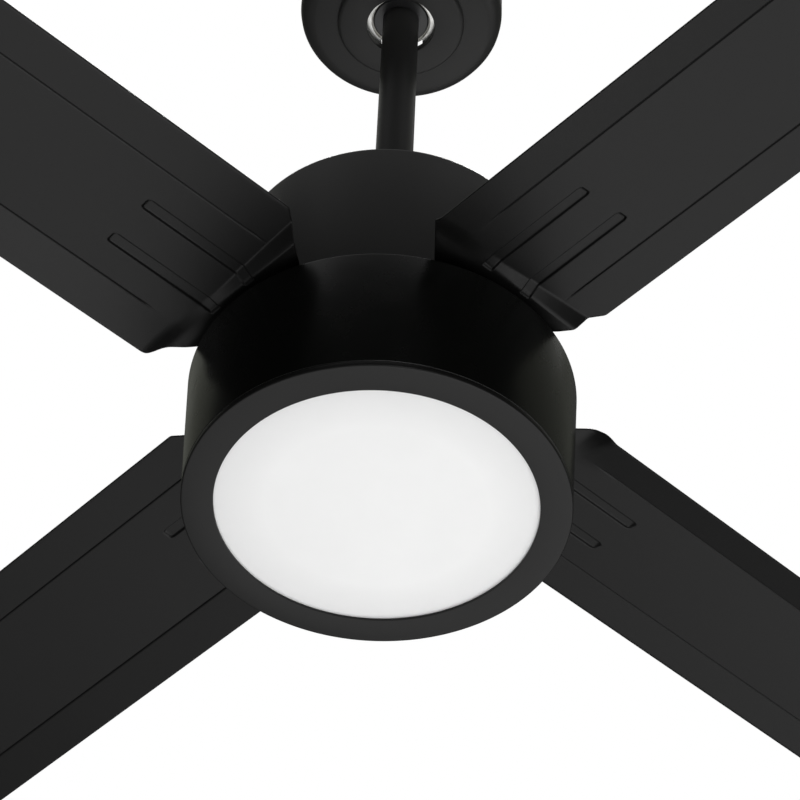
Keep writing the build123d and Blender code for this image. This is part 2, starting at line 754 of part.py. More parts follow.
nut_radius, nut_height = 18.0, 7.0
with BuildPart() as shaft_nut:
    with BuildSketch(Plane.XY.offset(light_plate_bottom)):
        RegularPolygon(nut_radius, 6)
        Circle(shaft_radius, mode=Mode.SUBTRACT)
    extrude(amount=-nut_height)
finish(shaft_nut.part, "shaft_nut")

# Light drum: a slightly flared cup, open below.
with BuildPart() as light_housing:
    with BuildSketch(Plane.XZ):
        with BuildLine():
            wall_outside = FilletPolyline(
                (light_radius_bottom, light_bottom),
                (light_radius_top, light_top),
                (drum_roof_hole, light_top),
                radius=drum_edge_radius,
            )
            wall_inside = FilletPolyline(
                (light_radius_bottom - sheet, light_bottom),
                (light_radius_top - sheet, light_top - sheet),
                (drum_roof_hole, light_top - sheet),
                radius=drum_edge_radius - sheet,
            )
            Line(wall_outside @ 0, wall_inside @ 0)
            Line(wall_outside @ 1, wall_inside @ 1)
        make_face()
    revolve(axis=Axis.Z)
    with BuildSketch(Plane.XY.offset(light_top)):
        with PolarLocations(drum_screw_circle, drum_screw_count, start_angle=30):
            Circle(drum_screw_radius)
    extrude(amount=-sheet, mode=Mode.SUBTRACT)
finish(light_housing.part, "light_housing")

with BuildPart() as light_housing_screws:
    with Locations(Plane.XY.offset(light_plate_bottom)):
        with PolarLocations(drum_screw_circle, drum_screw_count, start_angle=30):
            add(screw_blank(3.8, 2.4, drum_screw_radius, plate_thickness + sheet + 2))
finish(light_housing_screws.part, "light_housing_screws")

# LED tray on three hexagonal standoffs, with the driver above it and the board below it.
tray_level = ring_face + 36.0
tray_sheet = 2.0
tray_radius = 108.0
tray_rim = 9.0
with BuildPart() as led_tray:
    with BuildSketch(Plane.XY.offset(tray_level - tray_sheet)):
        Circle(tray_radius)
        with PolarLocations(standoff_circle, standoff_count, start_angle=90):
            Circle(drum_screw_radius, mode=Mode.SUBTRACT)
    extrude(amount=tray_sheet)
    with BuildSketch(Plane.XY.offset(tray_level)):
        Circle(tray_radius)
        Circle(tray_radius - tray_sheet, mode=Mode.SUBTRACT)
    extrude(amount=tray_rim)
    fillet(led_tray.edges().group_by(Axis.Z)[0].sort_by(SortBy.RADIUS)[-1], 1.5)
finish(led_tray.part, "led_tray")

with BuildPart() as standoffs:
    with BuildSketch(Plane.XY.offset(tray_level)):
        with PolarLocations(standoff_circle, standoff_count, start_angle=90):
            RegularPolygon(standoff_radius, 6)
            Circle(drum_screw_radius, mode=Mode.SUBTRACT)
    extrude(amount=light_plate_bottom - tray_level)
finish(standoffs.part, "standoffs")

# LED board with a clearance hole round each tray screw, and its LED packages in three rings.
board_radius = 95.0
screw_clearance = 5.5
board_thickness = 1.6
board_top = tray_level - tray_sheet
board_bottom = board_top - board_thickness
with BuildPart() as led_board:
    with BuildSketch(Plane.XY.offset(board_bottom)):
        Circle(board_radius)
        with PolarLocations(standoff_circle, standoff_count, start_angle=90):
            Circle(screw_clearance, mode=Mode.SUBTRACT)
    extrude(amount=board_thickness)
finish(led_board.part, "led_board")

with BuildPart() as tray_screws:
    with Locations(Plane.XY.offset(tray_level - tray_sheet)):
        with PolarLocations(standoff_circle, standoff_count, start_angle=90):
            add(screw_blank(3.8, 2.2, drum_screw_radius, tray_sheet + 6))
finish(tray_screws.part, "tray_screws")

led_rings = ((24.0, 6), (48.0, 12), (82.0, 24))
led_size, led_height = 3.5, 0.8
with BuildPart() as led_chips:
    with BuildSketch(Plane.XY.offset(board_bottom)):
        for ring_radius, led_count in led_rings:
            with PolarLocations(ring_radius, led_count):
                Rectangle(led_size, led_size)
    extrude(amount=-led_height)
finish(led_chips.part, "led_chips")

driver_length, driver_width, driver_height = 98.0, 42.0, 24.0
driver_top = tray_level + driver_height
driver_corner = 3.0
with BuildPart() as led_driver:
    with BuildSketch(Plane.XY.offset(tray_level)):
        RectangleRounded(driver_length, driver_width, driver_corner)
    extrude(amount=driver_height)
    fillet(led_driver.edges().group_by(Axis.Z)[-1], 2)
finish(led_driver.part, "led_driver")

# Four leads run from the rod's top through rod and shaft to the plug on the driver.
connector_length, connector_width, connector_height = 18.0, 13.0, 12.0
connector_top = driver_top + connector_height
lead_radius = 1.2
lead_circle = 5.2               # keeps the leads beside the two cross pins
with BuildPart() as wire_connector:
    with BuildSketch(Plane.XY.offset(driver_top)):
        RectangleRounded(connector_length, connector_width, 1.5)
    extrude(amount=connector_height)
    fillet(wire_connector.edges().group_by(Axis.Z)[-1], 1)
finish(wire_connector.part, "wire_connector")

with BuildPart() as lead_wires:
    with BuildSketch(Plane.XY.offset(connector_top)):
        with PolarLocations(lead_circle, 2, start_angle=60, angular_range=60, endpoint=True):
            Circle(lead_radius)
        with PolarLocations(lead_circle, 2, start_angle=240, angular_range=60, endpoint=True):
            Circle(lead_radius)
    extrude(amount=rod_top - 2 - connector_top)
finish(lead_wires.part, "lead_wires")

# ================================================================ trim ring and diffuser, twisted off together

ring_radius = light_radius_bottom
lens_opening_radius = 101.6
ring_thickness = 4.0
ring_lip_thickness = 2.0
collar_radius = 118.0
collar_wall = 1.5
collar_top = ring_face + 14.0
lug_count = 3
lug_angle = 10.0
shelf_angle = 16.0
shelf_bottom = ring_face + 7.0
shelf_thickness = 1.4
lug_bottom = shelf_bottom + shelf_thickness + running_gap
lug_thickness = 1.6
lug_radius = collar_radius + 1.6


def annular_sector(plane, inner_radius, outer_radius, angle, height):
    """An arc-shaped bar centred on local +X, from inner to outer radius."""
    with BuildPart() as sector:
        with BuildSketch(plane):
            with BuildLine():
                near = CenterArc((0, 0), inner_radius, -angle / 2, angle)
                far = CenterArc((0, 0), outer_radius, -angle / 2, angle)
                Line(near @ 0, far @ 0)
                Line(near @ 1, far @ 1)
            make_face()
        extrude(amount=height)
    return sector.part


lug = annular_sector(
    Plane.XY.offset(lug_bottom), collar_radius - 0.5, lug_radius, lug_angle, lug_thickness
)
with BuildPart() as trim_ring:
    with BuildSketch(Plane.XZ):
        with BuildLine():
            Polyline(
                (lens_opening_radius, ring_face),
                (ring_radius, ring_face),
                (ring_radius, ring_face + ring_thickness),
                (collar_radius, ring_face + ring_thickness),
                (collar_radius, collar_top),
                (collar_radius - collar_wall, collar_top),
                (collar_radius - collar_wall, ring_face + ring_lip_thickness),
                (lens_opening_radius, ring_face + ring_lip_thickness),
                close=True,
            )
        make_face()
    revolve(axis=Axis.Z)
    fillet(trim_ring.edges().group_by(Axis.Z)[0].sort_by(SortBy.RADIUS)[-1], 1.2)
    fillet(trim_ring.edges().group_by(Axis.Z)[0].sort_by(SortBy.RADIUS)[0], 0.4)
    with PolarLocations(0, lug_count):
        add(lug)
finish(trim_ring.part, "trim_ring")

# Shelves inside the drum's lower edge that hold the ring's lugs.
shelf_radius = light_radius_bottom - sheet - 0.05
shelf = annular_sector(
    Plane.XY.offset(shelf_bottom), collar_radius + 0.4, shelf_radius, shelf_angle, shelf_thickness
)
shelf_back = annular_sector(
    Plane.XY.offset(shelf_bottom), shelf_radius - 0.5, shelf_radius, shelf_angle, 7.0
)
with BuildPart() as bayonet_shelves:
    with PolarLocations(0, lug_count):
        add(shelf)
        add(shelf_back)
finish(bayonet_shelves.part, "bayonet_shelves")

# Opal diffuser: a shallow pillow whose flat rim lies on the ring's lip.
diffuser_radius = 114.0
diffuser_thickness = 2.4
diffuser_rim = ring_face + ring_lip_thickness + 0.1
pillow_radius = 100.9
pillow_depth = 1.3
pillow_sphere = (pillow_radius**2 + pillow_depth**2) / (2 * pillow_depth)
pillow_middle = pillow_sphere - sqrt(pillow_sphere**2 - pillow_radius**2 / 4) - pillow_depth
with BuildPart() as diffuser:
    with BuildSketch(Plane.XZ):
        with BuildLine():
            rim_line = Line((diffuser_radius, diffuser_rim), (pillow_radius, diffuser_rim))
            pillow = ThreePointArc(
                rim_line @ 1,
                (pillow_radius / 2, diffuser_rim + pillow_middle),
                (0, diffuser_rim - pillow_depth),
            )
            Polyline(
                pillow @ 1,
                (0, diffuser_rim + diffuser_thickness),
                (diffuser_radius, diffuser_rim + diffuser_thickness),
                rim_line @ 0,
            )
        make_face()
    revolve(axis=Axis.Z)
finish(diffuser.part, "diffuser")

# Spring clips that press the diffuser's rim on to the lip.
clip_top = diffuser_rim + diffuser_thickness
diffuser_clip = annular_sector(
    Plane.XY.offset(clip_top), 108.0, collar_radius - collar_wall, 5.0, 1.0
)
diffuser_clip_back = annular_sector(
    Plane.XY.offset(clip_top), collar_radius - collar_wall - 1.0, collar_radius - collar_wall, 5.0, 6.0
)
with BuildPart() as diffuser_clips:
    with PolarLocations(0, lug_count, start_angle=60):
        add(diffuser_clip)
        add(diffuser_clip_back)
finish(diffuser_clips.part, "diffuser_clips")

print(len(finished), "pieces written")
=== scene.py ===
"""Ceiling fan with light: the looks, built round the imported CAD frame. Metres, +Z up, origin on the ceiling."""

import json
import math

import bmesh
import bpy
from mathutils import Matrix, Vector


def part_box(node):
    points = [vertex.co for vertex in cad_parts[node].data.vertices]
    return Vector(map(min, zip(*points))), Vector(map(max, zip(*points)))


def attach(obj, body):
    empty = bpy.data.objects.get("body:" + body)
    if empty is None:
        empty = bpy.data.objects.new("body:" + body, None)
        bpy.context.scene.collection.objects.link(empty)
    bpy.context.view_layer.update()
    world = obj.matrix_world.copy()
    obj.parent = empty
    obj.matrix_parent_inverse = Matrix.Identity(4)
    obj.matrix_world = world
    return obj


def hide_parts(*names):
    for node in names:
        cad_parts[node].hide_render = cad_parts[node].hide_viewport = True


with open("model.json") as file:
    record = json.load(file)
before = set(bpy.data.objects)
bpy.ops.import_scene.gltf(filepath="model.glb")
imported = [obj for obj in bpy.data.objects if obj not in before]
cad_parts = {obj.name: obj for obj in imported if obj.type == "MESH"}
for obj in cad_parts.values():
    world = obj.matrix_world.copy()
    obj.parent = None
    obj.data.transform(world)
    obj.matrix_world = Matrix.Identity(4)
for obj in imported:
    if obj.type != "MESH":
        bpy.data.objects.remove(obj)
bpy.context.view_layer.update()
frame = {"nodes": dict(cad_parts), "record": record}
nodes = frame["nodes"]

MM = 0.001
TURN_STEPS = 192                # segments round a turned piece
ARC_STEPS = 5                   # segments in a rounded profile corner
SMOOTH_ANGLE = math.radians(38)
FIRST_BLADE_ANGLE = math.radians(45)
BLADE_COUNT = 4

# Heights are counted from the trim ring's lower face, as in the CAD model.
ring_low, ring_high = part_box("trim_ring")
FACE = ring_low.z
LENS_OPENING = 101.6 * MM


# ------------------------------------------------------------------ material helpers

class Material:
    """A procedural material: a Principled shader fed by textures in object space."""

    def __init__(self, name, colour, roughness, metallic=0.0):
        self.material = bpy.data.materials.new(name)
        self.material.use_nodes = True
        self.tree = self.material.node_tree
        self.shader = self.tree.nodes["Principled BSDF"]
        self.shader.inputs["Base Color"].default_value = (*colour, 1.0)
        self.shader.inputs["Roughness"].default_value = roughness
        self.shader.inputs["Metallic"].default_value = metallic
        self.space = self.tree.nodes.new("ShaderNodeTexCoord").outputs["Object"]
        self.normal = None

    def set(self, **values):
        """Sets plain values on the shader's own sockets; an underscore stands for a space."""
        for key, value in values.items():
            self.shader.inputs[key.replace("_", " ")].default_value = value
        return self

    def link(self, source, target):
        self.tree.links.new(source, target)

    def stretched(self, scale):
        """Object space stretched by a scale for each axis, for brushed or layered looks."""
        mapping = self.tree.nodes.new("ShaderNodeMapping")
        mapping.inputs["Scale"].default_value = scale
        self.link(self.space, mapping.inputs["Vector"])
        return mapping.outputs["Vector"]

    def noise(self, size, detail=3.0, space=None, roughness=0.5):
        """Noise whose features are about size metres across."""
        node = self.tree.nodes.new("ShaderNodeTexNoise")
        node.inputs["Scale"].default_value = 1.0 / size
        node.inputs["Detail"].default_value = detail
        node.inputs["Roughness"].default_value = roughness
        self.link(space or self.space, node.inputs["Vector"])
        return node.outputs["Fac"]

    def cells(self, size):
        """Distance to the nearest border of a pattern of cells about size metres across."""
        node = self.tree.nodes.new("ShaderNodeTexVoronoi")
        node.feature = "DISTANCE_TO_EDGE"
        node.inputs["Scale"].default_value = 1.0 / size
        self.link(self.space, node.inputs["Vector"])
        return node.outputs["Distance"]

    def edges(self, low=0.5, high=0.56):
        """White on convex edges, black on flat and hollow places."""
        geometry = self.tree.nodes.new("ShaderNodeNewGeometry")
        return self.remap(geometry.outputs["Pointiness"], low, high, 0.0, 1.0)

    def from_axis(self):
        """Distance from the fan's upright axis."""
        flat = self.tree.nodes.new("ShaderNodeVectorMath")
        flat.operation = "MULTIPLY"
        flat.inputs[1].default_value = (1, 1, 0)
        length = self.tree.nodes.new("ShaderNodeVectorMath")
        length.operation = "LENGTH"
        self.link(self.space, flat.inputs[0])
        self.link(flat.outputs["Vector"], length.inputs[0])
        return length.outputs["Value"]

    def attribute(self, name):
        """A number stored on the mesh's points."""
        node = self.tree.nodes.new("ShaderNodeAttribute")
        node.attribute_name = name
        return node.outputs["Fac"]

    def remap(self, value, from_low, from_high, to_low, to_high):
        node = self.tree.nodes.new("ShaderNodeMapRange")
        for key, number in zip(
            ("From Min", "From Max", "To Min", "To Max"), (from_low, from_high, to_low, to_high)
        ):
            node.inputs[key].default_value = number
        self.link(value, node.inputs["Value"])
        return node.outputs["Result"]

    def blend_colours(self, factor, first, second):
        """The first colour where factor is 0 and the second where it is 1."""
        node = self.tree.nodes.new("ShaderNodeMix")
        node.data_type = "RGBA"
        self.link(factor, node.inputs["Factor"])
        for socket, colour in ((node.inputs["A"], first), (node.inputs["B"], second)):
            if isinstance(colour, bpy.types.NodeSocket):
                self.link(colour, socket)
            else:
                socket.default_value = (*colour, 1.0)
        return node.outputs["Result"]

    def colour_from(self, source):
        self.link(source, self.shader.inputs["Base Color"])
        return self

    def roughness_from(self, source):
        self.link(source, self.shader.inputs["Roughness"])
        return self

    def bump(self, height, distance, strength=1.0):
        """Adds a bump layer; each layer sits on the one before it."""
        node = self.tree.nodes.new("ShaderNodeBump")
        node.inputs["Distance"].default_value = distance
        node.inputs["Strength"].default_value = strength
        self.link(height, node.inputs["Height"])
        if self.normal is not None:
            self.link(self.normal, node.inputs["Normal"])
        self.normal = node.outputs["Normal"]
        self.link(self.normal, self.shader.inputs["Normal"])
        return self


def shade(colour, factor):
    return tuple(channel * factor for channel in colour)


def powder_coat(name, colour, roughness=0.4, grain=0.9 * MM, depth=0.03 * MM, painted_groove_shade=False):
    """Baked powder coat: fine pebbled skin, slow drift in tone; when asked, painted shade darkens the ribs' walls
    and the scored lines.
    """
    coat = Material(name, colour, roughness)
    coat.set(Specular_IOR_Level=0.225)
    drift = coat.remap(coat.noise(90 * MM, 2.0), 0.3, 0.7, 0.0, 1.0)
    speckle = coat.remap(coat.noise(grain, 2.0), 0.35, 0.65, 0.0, 1.0)
    body = coat.blend_colours(drift, shade(colour, 0.92), shade(colour, 1.07))
    grained = coat.blend_colours(speckle, body, shade(colour, 1.12))
    # painted shade: the colour falls to a fifth on the ribs' walls and in the scored lines
    if painted_groove_shade:
        grained = coat.blend_colours(coat.attribute("painted_groove_shade"), grained, shade(colour, 0.2))
    coat.colour_from(grained)
    coat.roughness_from(coat.remap(speckle, 0.0, 1.0, roughness - 0.05, roughness + 0.06))
    coat.bump(coat.noise(grain, 3.0), depth, 0.6)
    coat.bump(coat.noise(14 * MM, 2.0), 0.12 * MM, 0.25)
    return coat.material


def satin_paint(name, colour, roughness=0.26):
    """Sprayed satin enamel: faint orange peel under a clear coat."""
    paint = Material(name, colour, roughness)
    drift = paint.remap(paint.noise(60 * MM, 2.0), 0.3, 0.7, 0.0, 1.0)
    paint.colour_from(paint.blend_colours(drift, shade(colour, 0.85), shade(colour, 1.15)))
    smudge = paint.remap(paint.noise(28 * MM, 4.0), 0.35, 0.7, roughness - 0.015, roughness + 0.03)
    paint.roughness_from(smudge)
    paint.bump(paint.noise(3 * MM, 1.0), 0.01 * MM, 0.12)
    return paint.material


def opal(name):
    """Opal acrylic with a fine etched skin and painted shade that greys it towards the rim; light spreads inside
    it.
    """
    lens = Material(name, (0.93, 0.93, 0.925), 0.34)
    lens.set(Subsurface_Weight=0.35, Subsurface_Scale=5 * MM, Subsurface_Radius=(1, 1, 1))
    cloud = lens.remap(lens.noise(45 * MM, 2.0), 0.3, 0.7, 0.0, 1.0)
    body = lens.blend_colours(cloud, (0.93, 0.93, 0.925), (0.95, 0.95, 0.945))
    # painted shade: grey blended into the colour from 70 mm out to the rim
    rim = lens.remap(lens.from_axis(), 70 * MM, 102 * MM, 0.0, 1.0)
    lens.colour_from(lens.blend_colours(rim, body, (0.82, 0.82, 0.82)))
    lens.bump(lens.noise(0.5 * MM, 2.0), 0.01 * MM, 0.3)
    return lens.material


def plated_steel(name, colour=(0.55, 0.55, 0.53), roughness=0.34):
    """Rolled and zinc-plated steel: rolling lines along X, cloudy plating, scuffed edges."""
    steel = Material(name, colour, roughness, 1.0)
    lines = steel.noise(1.0 * MM, 2.0, steel.stretched((0.03, 1.0, 1.0)))
    cloud = steel.remap(steel.noise(9 * MM, 4.0), 0.3, 0.7, 0.0, 1.0)
    plated = steel.blend_colours(cloud, shade(colour, 0.86), shade(colour, 1.1))
    steel.colour_from(steel.blend_colours(steel.edges(), plated, shade(colour, 1.3)))
    steel.roughness_from(steel.remap(cloud, 0.0, 1.0, roughness - 0.06, roughness + 0.12))
    steel.bump(lines, 0.02 * MM, 0.4)
    return steel.material


def turned_steel(name, colour, roughness):
    """Turned or ground steel: fine rings across Z."""
    steel = Material(name, colour, roughness, 1.0)
    rings = steel.noise(0.8 * MM, 2.0, steel.stretched((0.02, 0.02, 1.0)))
    steel.colour_from(steel.blend_colours(rings, shade(colour, 0.85), shade(colour, 1.12)))
    steel.roughness_from(steel.remap(rings, 0.3, 0.7, roughness - 0.05, roughness + 0.08))
    steel.bump(rings, 0.015 * MM, 0.5)
    return steel.material


def laminations(name):
    """Stacked electrical steel: 0.5 mm sheets seen as bands across Z."""
    stack = Material(name, (0.23, 0.235, 0.25), 0.42, 0.9)
    bands = stack.noise(0.5 * MM, 0.0, stack.stretched((0.0, 0.0, 1.0)))
    stack.colour_from(stack.blend_colours(bands, (0.12, 0.12, 0.135), (0.33, 0.33, 0.345)))
    stack.bump(bands, 0.08 * MM, 0.8)
    return stack.material


def copper_windings(name):
    """Enamelled wire wound in bundles."""
    copper = Material(name, (0.48, 0.17, 0.06), 0.28, 0.85)
    strands = copper.noise(1.1 * MM, 1.0, copper.stretched((1.0, 1.0, 0.35)))
    copper.colour_from(copper.blend_colours(strands, (0.28, 0.09, 0.03), (0.66, 0.27, 0.10)))
    copper.bump(strands, 0.5 * MM, 0.9)
    copper.set(Coat_Weight=0.4, Coat_Roughness=0.15)
    return copper.material


def cast_metal(name, colour, roughness, metallic=1.0):
    """Die-cast metal: grainy skin with soft swirls."""
    cast = Material(name, colour, roughness, metallic)
    grain = cast.noise(0.7 * MM, 3.0)
    swirl = cast.remap(cast.noise(12 * MM, 3.0), 0.3, 0.7, 0.0, 1.0)
    body = cast.blend_colours(swirl, shade(colour, 0.8), shade(colour, 1.1))
    cast.colour_from(cast.blend_colours(cast.edges(), body, shade(colour, 1.35)))
    cast.roughness_from(cast.remap(grain, 0.3, 0.7, roughness - 0.08, roughness + 0.1))
    cast.bump(grain, 0.06 * MM, 0.6)
    return cast.material


def moulded_plastic(name, colour, roughness=0.42, grain=0.35 * MM):
    """Moulded plastic: fine spark-eroded texture and slightly polished edges."""
    plastic = Material(name, colour, roughness)
    texture = plastic.noise(grain, 2.0)
    drift = plastic.remap(plastic.noise(15 * MM, 2.0), 0.3, 0.7, 0.0, 1.0)
    plastic.colour_from(plastic.blend_colours(drift, shade(colour, 0.94), shade(colour, 1.05)))
    plastic.roughness_from(plastic.remap(texture, 0.3, 0.7, roughness - 0.05, roughness + 0.08))
    plastic.bump(texture, 0.03 * MM, 0.5)
    return plastic.material


def circuit_board(name):
    """White solder mask with faint copper pours under it."""
    board = Material(name, (0.86, 0.87, 0.86), 0.3)
    pours = board.remap(board.cells(9 * MM), 0.02, 0.035, 0.0, 1.0)
    board.colour_from(board.blend_colours(pours, (0.74, 0.75, 0.73), (0.87, 0.88, 0.87)))
    board.bump(pours, 0.04 * MM, 0.7)
    return board.material


def phosphor(name):
    """Yellow phosphor of an LED package, with grainy fill."""
    led = Material(name, (0.85, 0.70, 0.18), 0.35)
    grain = led.noise(0.3 * MM, 2.0)
    led.colour_from(led.blend_colours(grain, (0.70, 0.52, 0.10), (0.92, 0.80, 0.32)))
    led.bump(grain, 0.02 * MM, 0.5)
    return led.material


BLACK = (0.0046, 0.0046, 0.0045)
MATERIALS = {
    # black_powder is the shared black made 6.2 times lighter: partly the coat's own tone, partly painted light
    # that brightens the upper drum's walls
    "black_powder": powder_coat("black_powder", shade(BLACK, 6.2)),
    # the blades' black carries painted shade on its rib walls and in its scored lines
    "blade_black": powder_coat("blade_black", BLACK, painted_groove_shade=True),
    "ring_black": powder_coat("ring_black", shade(BLACK, 1.5), 0.4, 0.7 * MM, 0.02 * MM),
    "drum_black": satin_paint("drum_black", (0.0010, 0.0013, 0.0009)),
    "hub_black": powder_coat("hub_black", (0.018, 0.018, 0.018), 0.45),
    "black_screw": cast_metal("black_screw", (0.045, 0.045, 0.047), 0.4, 0.6),
    "zinc_steel": plated_steel("zinc_steel"),
    "green_screw": cast_metal("green_screw", (0.05, 0.30, 0.11), 0.35, 0.7),
    "receiver_plastic": moulded_plastic("receiver_plastic", (0.035, 0.035, 0.04)),
    "nylon": moulded_plastic("nylon", (0.78, 0.76, 0.70), 0.38),
    "ball_nylon": moulded_plastic("ball_nylon", (0.025, 0.025, 0.026), 0.3),
    "cast_zinc": cast_metal("cast_zinc", (0.36, 0.36, 0.37), 0.45),
    "spring_steel": turned_steel("spring_steel", (0.55, 0.55, 0.56), 0.22),
    "machined_steel": turned_steel("machined_steel", (0.46, 0.46, 0.47), 0.3),
    "lamination_steel": laminations("lamination_steel"),
    "copper_winding": copper_windings("copper_winding"),
    "cast_aluminium": cast_metal("cast_aluminium", (0.58, 0.58, 0.59), 0.42),
    "bearing_steel": turned_steel("bearing_steel", (0.62, 0.62, 0.63), 0.14),
    "tray_white": powder_coat("tray_white", (0.80, 0.80, 0.79), 0.4),
    "board_white": circuit_board("board_white"),
    "led_yellow": phosphor("led_yellow"),
    "driver_plastic": moulded_plastic("driver_plastic", (0.74, 0.74, 0.71)),
    "connector_plastic": moulded_plastic("connector_plastic", (0.84, 0.82, 0.76), 0.35),
    "wire_insulation": moulded_plastic("wire_insulation", (0.75, 0.75, 0.74), 0.35, 0.2 * MM),
    "opal_acrylic": opal("opal_acrylic"),
}


# ------------------------------------------------------------------ mesh helpers

def rounded(corners):
    """A closed outline from (x, y, radius) corners, each rounded by an arc of its radius."""
    outline = []
    count = len(corners)
    for index, (x, y, radius) in enumerate(corners):
        here = Vector((x, y))
        if radius <= 0:
            outline.append(here)
            continue
        before = (Vector(corners[index - 1][:2]) - here).normalized()
        after = (Vector(corners[(index + 1) % count][:2]) - here).normalized()
        half = before.angle(after) / 2
        reach = radius / math.tan(half)
        centre = here + (before + after).normalized() * (radius / math.sin(half))
        start = here + before * reach - centre
        sweep = start.angle_signed(here + after * reach - centre)
        for step in range(ARC_STEPS + 1):
            turn = Matrix.Rotation(-sweep * step / ARC_STEPS, 2)
            outline.append(centre + turn @ start)
    return outline


def add_object(name, mesh, slot_name):
    """Puts a mesh in the scene with its slot's material and smooth, angle-limited shading."""
    mesh.materials.append(MATERIALS[slot_name])
    mesh.shade_smooth()
    mesh.set_sharp_from_angle(angle=SMOOTH_ANGLE)
    piece = bpy.data.objects.new(name, mesh)
    bpy.context.scene.collection.objects.link(piece)
    return piece


def mesh_from(build):
    """A clean mesh from a bmesh: doubles merged and faces turned outwards."""
    bmesh.ops.remove_doubles(build, verts=build.verts, dist=1e-6)
    bmesh.ops.recalc_face_normals(build, faces=build.faces)
    mesh = bpy.data.meshes.new("mesh")
    build.to_mesh(mesh)
    build.free()
    return mesh


def turned(name, corners, slot_name, body, node):
    """A turned piece: a rounded outline of (radius, height, corner radius) swept round the Z axis."""
    build = bmesh.new()
    outline = rounded(corners)
    rings = []
    for point in outline:
        ring = []
        for step in range(TURN_STEPS):
            angle = 2 * math.pi * step / TURN_STEPS
            ring.append(build.verts.new((point.x * math.cos(angle), point.x * math.sin(angle), point.y)))
        rings.append(ring)
    for index, ring in enumerate(rings):
        following = rings[(index + 1) % len(rings)]
        on_axis = outline[index].x < 1e-9 and outline[(index + 1) % len(rings)].x < 1e-9
        if on_axis:
            continue
        for step in range(TURN_STEPS):
            ahead = (step + 1) % TURN_STEPS
            build.faces.new((ring[step], ring[ahead], following[ahead], following[step]))
    bmesh.ops.remove_doubles(build, verts=build.verts, dist=1e-7)
    bmesh.ops.dissolve_degenerate(build, edges=build.edges, dist=1e-8)
    piece = add_object(name, mesh_from(build), slot_name)
    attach(piece, body)
    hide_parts(node)
    return piece


# ------------------------------------------------------------------ drums, ring, lens, rod, canopy

SHEET = 1.5 * MM


def make_light_drum():
    """Lower drum: a slightly tapered cup, open below, with a hole in its roof."""
    low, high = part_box("light_housing")
    bottom_radius = ring_high.x
    roof_hole = 38 * MM
    turned(
        "light_drum",
        [
            (bottom_radius, low.z, 0.5 * MM),
            (high.x, high.z, 0.8 * MM),
            (roof_hole, high.z, 0.4 * MM),
            (roof_hole, high.z - SHEET, 0.4 * MM),
            (high.x - SHEET, high.z - SHEET, 0.6 * MM),
            (bottom_radius - SHEET, low.z, 0.5 * MM),
        ],
        "drum_black",
        "hanging_frame",
        "light_housing",
    )


def make_motor_drum():
    """Upper drum: a straight cup, open below, round the motor."""
    low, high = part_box("motor_housing")
    top_hole = 21.5 * MM
    turned(
        "motor_drum",
        [
            (high.x, low.z, 0.5 * MM),
            (high.x, high.z, 3 * MM),
            (top_hole, high.z, 0.4 * MM),
            (top_hole, high.z - SHEET, 0.4 * MM),
            (high.x - SHEET, high.z - SHEET, 1.5 * MM),
            (high.x - SHEET, low.z, 0.5 * MM),
        ],
        "black_powder",
        "hanging_frame",
        "motor_housing",
    )


def make_trim_ring():
    """Trim ring: a flat face with rounded edges, a thin lip under the lens and a collar in the drum."""
    collar = 118 * MM
    turned(
        "trim_ring_skin",
        [
            (LENS_OPENING, FACE, 0.4 * MM),
            (ring_high.x, FACE, 1.2 * MM),
            (ring_high.x, FACE + 4 * MM, 0.5 * MM),
            (collar, FACE + 4 * MM, 0),
            (collar, ring_high.z, 0.3 * MM),
            (collar - SHEET, ring_high.z, 0.3 * MM),
            (collar - SHEET, FACE + 2 * MM, 0),
            (LENS_OPENING, FACE + 2 * MM, 0.3 * MM),
        ],
        "ring_black",
        "lens_ring",
        "trim_ring",
    )


def make_diffuser():
    """Opal lens: a shallow pillow with a flat rim that lies on the ring's lip."""
    low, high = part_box("diffuser")
    rim = FACE + 2.1 * MM
    pillow_radius = 100.9 * MM
    outline = [(high.x, rim, 0.2 * MM), (pillow_radius, rim, 0)]
    for step in range(1, 13):
        share = step / 12
        outline.append((pillow_radius * (1 - share), low.z + (rim - low.z) * (1 - share) ** 2, 0))
    outline += [(0, high.z, 0), (high.x, high.z, 0.6 * MM)]
    turned("lens_skin", outline, "opal_acrylic", "lens_ring", "diffuser")


def make_downrod():
    low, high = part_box("downrod")
    bore = high.x - 2.87 * MM
    turned(
        "downrod_tube",
        [
            (high.x, low.z, 0.6 * MM),
            (high.x, high.z, 0.6 * MM),
            (bore, high.z, 0.4 * MM),
            (bore, low.z, 0.4 * MM),
        ],
        "black_powder",
        "hanging_frame",
        "downrod",
    )


def make_canopy():
    """Canopy cup with a rounded lower corner and a rolled upper edge, and its screw cover ring."""
    low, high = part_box("canopy")
    thin, hole = 1.2 * MM, 25 * MM
    turned(
        "canopy_cup",
        [
            (hole, low.z, 0.3 * MM),
            (high.x, low.z, 12 * MM),
            (high.x, high.z, 0.5 * MM),
            (high.x - thin, high.z, 0.5 * MM),
            (high.x - thin, low.z + thin, 10.8 * MM),
            (hole, low.z + thin, 0.3 * MM),
        ],
        "black_powder",
        "ceiling_mount",
        "canopy",
    )
    low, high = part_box("canopy_cover_ring")
    turned(
        "cover_ring_skin",
        [
            (hole, low.z, 0.6 * MM),
            (high.x, low.z, 3 * MM),
            (high.x, high.z, 0.3 * MM),
            (high.x - thin, high.z, 0.3 * MM),
            (high.x - thin, low.z + thin, 1.8 * MM),
            (hole + thin, low.z + thin, 0.5 * MM),
            (hole + thin, high.z, 0.3 * MM),
            (hole, high.z, 0.3 * MM),
        ],
        "black_powder",
        "ceiling_mount",
        "canopy_cover_ring",
    )


